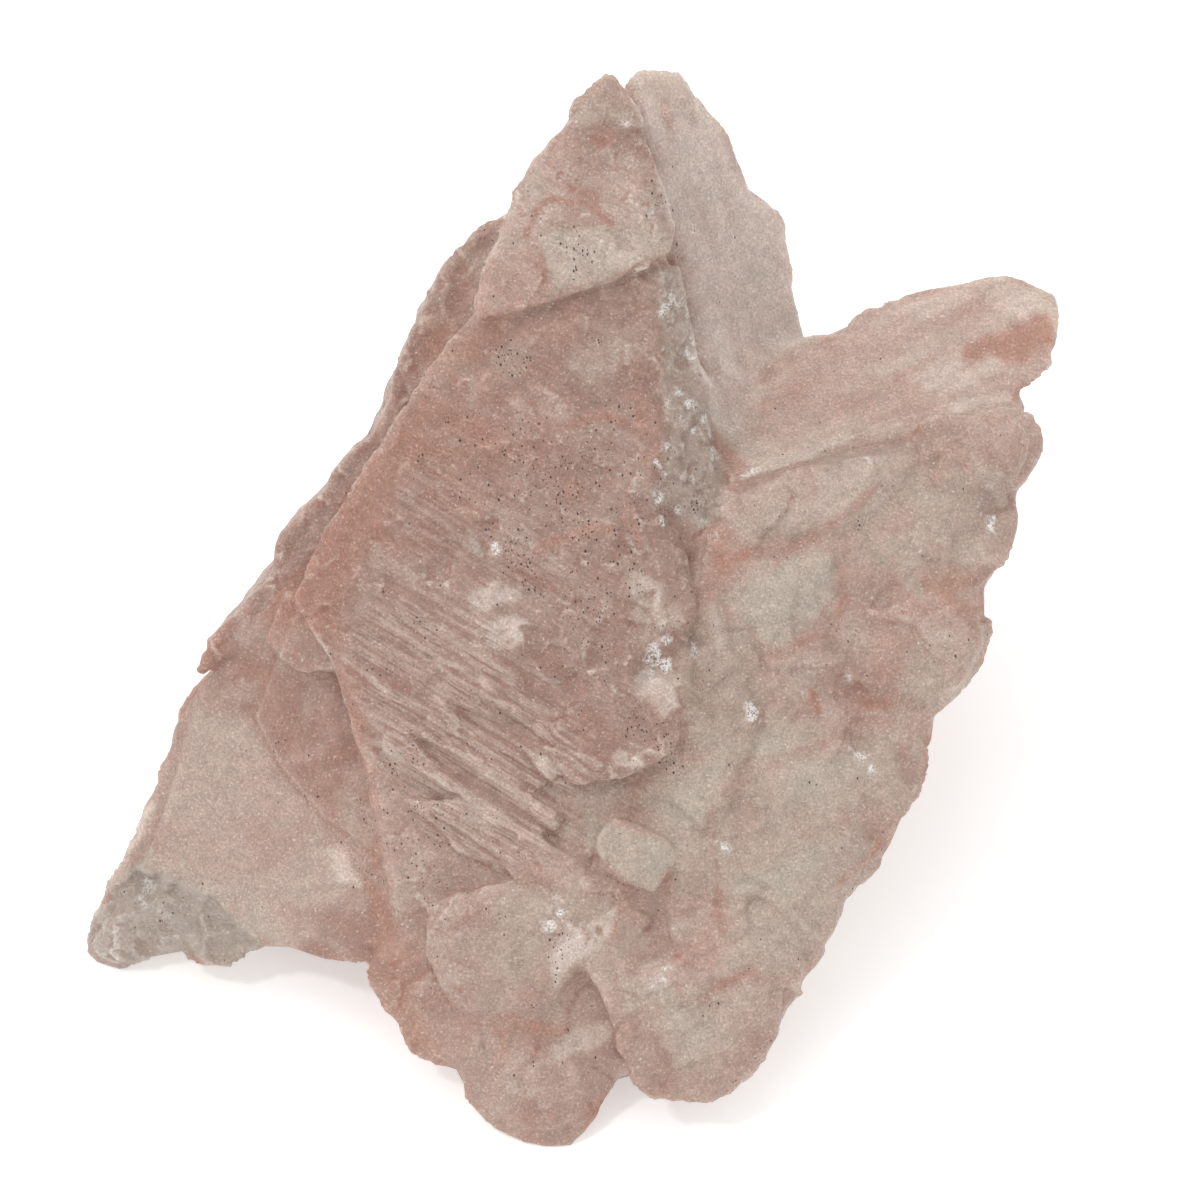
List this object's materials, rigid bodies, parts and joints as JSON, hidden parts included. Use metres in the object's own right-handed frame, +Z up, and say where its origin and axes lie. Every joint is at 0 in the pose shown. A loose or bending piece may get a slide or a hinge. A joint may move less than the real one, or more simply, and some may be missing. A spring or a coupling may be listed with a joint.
{
  "type": "morganite crystal group",
  "caption": "Pale pink rough crystal group of intergrown bladed crystals with scalloped rims, a mineral specimen that stands on its flat underside.",
  "frame": {"origin": "centre of the bounding box at the height of the flat underside", "axes": "+Z up, -Y the side that the picture shows, +X to the right of that view"},
  "size_m": [0.0494, 0.0478, 0.0338],
  "materials": {
    "pink_crystal": "rough translucent crystal, satin on its flat faces"
  },
  "bodies": {
    "root": {"crystal_group": "pink_crystal"}
  },
  "joints": []
}
